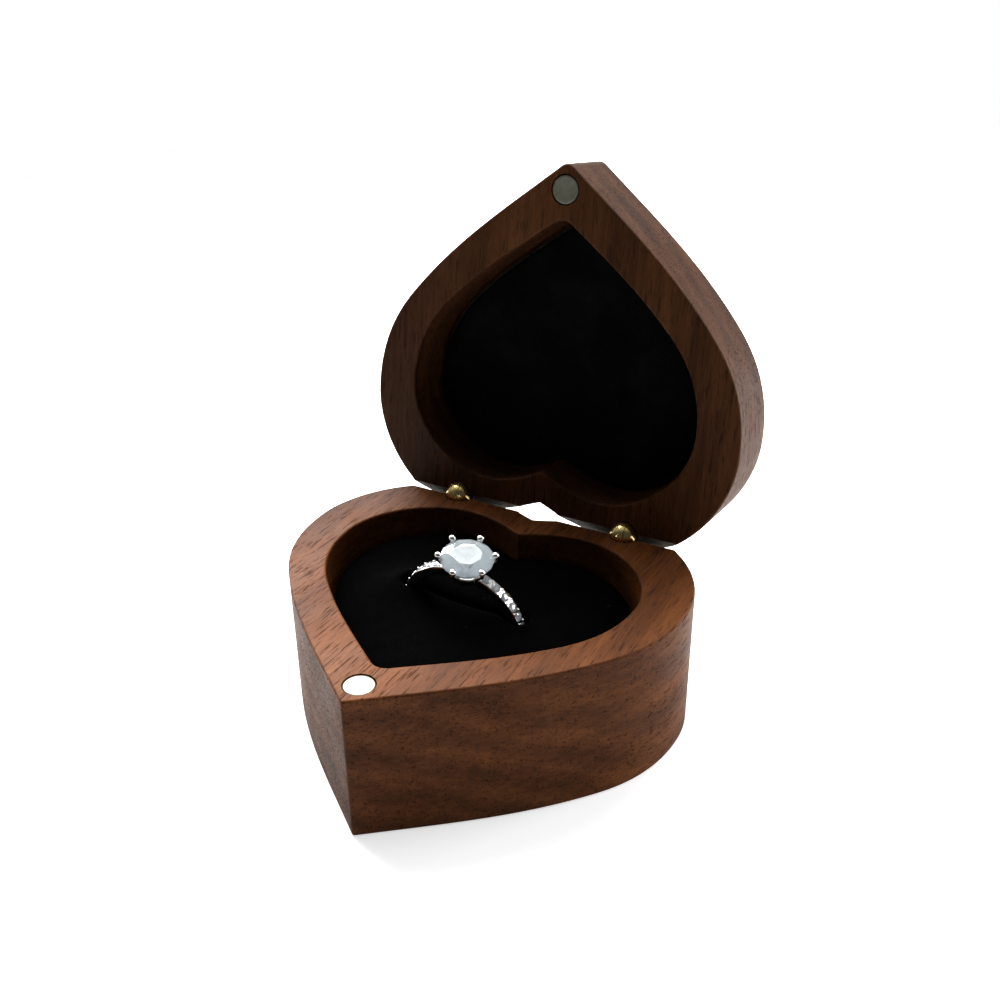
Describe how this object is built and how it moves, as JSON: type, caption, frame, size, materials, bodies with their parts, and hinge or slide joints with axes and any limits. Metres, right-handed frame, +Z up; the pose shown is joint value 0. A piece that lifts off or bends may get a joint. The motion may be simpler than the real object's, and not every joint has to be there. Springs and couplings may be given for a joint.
{
  "type": "ring box",
  "caption": "Heart-shaped wooden ring box with a hinged lid, disc magnets, a velvet cushion with a slit, and a ring standing in the slit.",
  "frame": {"origin": "centre of the base's flat underside, where the box rests", "axes": "+X along the hinge axis to the box's right, -Y towards the heart's tip, +Z up"},
  "size_m": [0.06, 0.0725, 0.0733],
  "materials": {
    "walnut": "satin oiled walnut, fine dark pores",
    "brass": "polished",
    "magnet": "nickel plated, satin",
    "velvet": "black velvet",
    "foam": "open foam",
    "card": "black card",
    "white_gold": "polished",
    "stone": "brilliant cut, clear"
  },
  "bodies": {
    "base": {"base_body": "walnut", "base_magnet": "magnet", "cushion_card": "card", "cushion_foam": "foam", "cushion_cover": "velvet", "left_hinge_base_barrel": "brass", "right_hinge_base_barrel": "brass", "left_hinge_pin": "brass", "right_hinge_pin": "brass"},
    "lid": {"lid_body": "walnut", "lid_magnet": "magnet", "lid_lining_card": "card", "lid_lining": "velvet", "left_hinge_lid_barrel": "brass", "right_hinge_lid_barrel": "brass"},
    "ring": {"ring_shank": "white_gold", "ring_head": "white_gold", "centre_stone": "stone", "side_stone_left_1": "stone", "side_stone_left_2": "stone", "side_stone_left_3": "stone", "side_stone_left_4": "stone", "side_stone_left_5": "stone", "side_stone_left_6": "stone", "side_stone_right_1": "stone", "side_stone_right_2": "stone", "side_stone_right_3": "stone", "side_stone_right_4": "stone", "side_stone_right_5": "stone", "side_stone_right_6": "stone"}
  },
  "joints": [
    {"name": "lid_hinge", "type": "hinge", "parent": "base", "child": "lid", "pos_m": [0, 0.0249, 0.02175], "axis": [1, 0, 0], "range_deg": [0, 99]},
    {"name": "ring_lift", "type": "slide", "parent": "base", "child": "ring", "axis": [0.1564, -0.1698, 0.973], "range_m": [0, 0.03]}
  ]
}
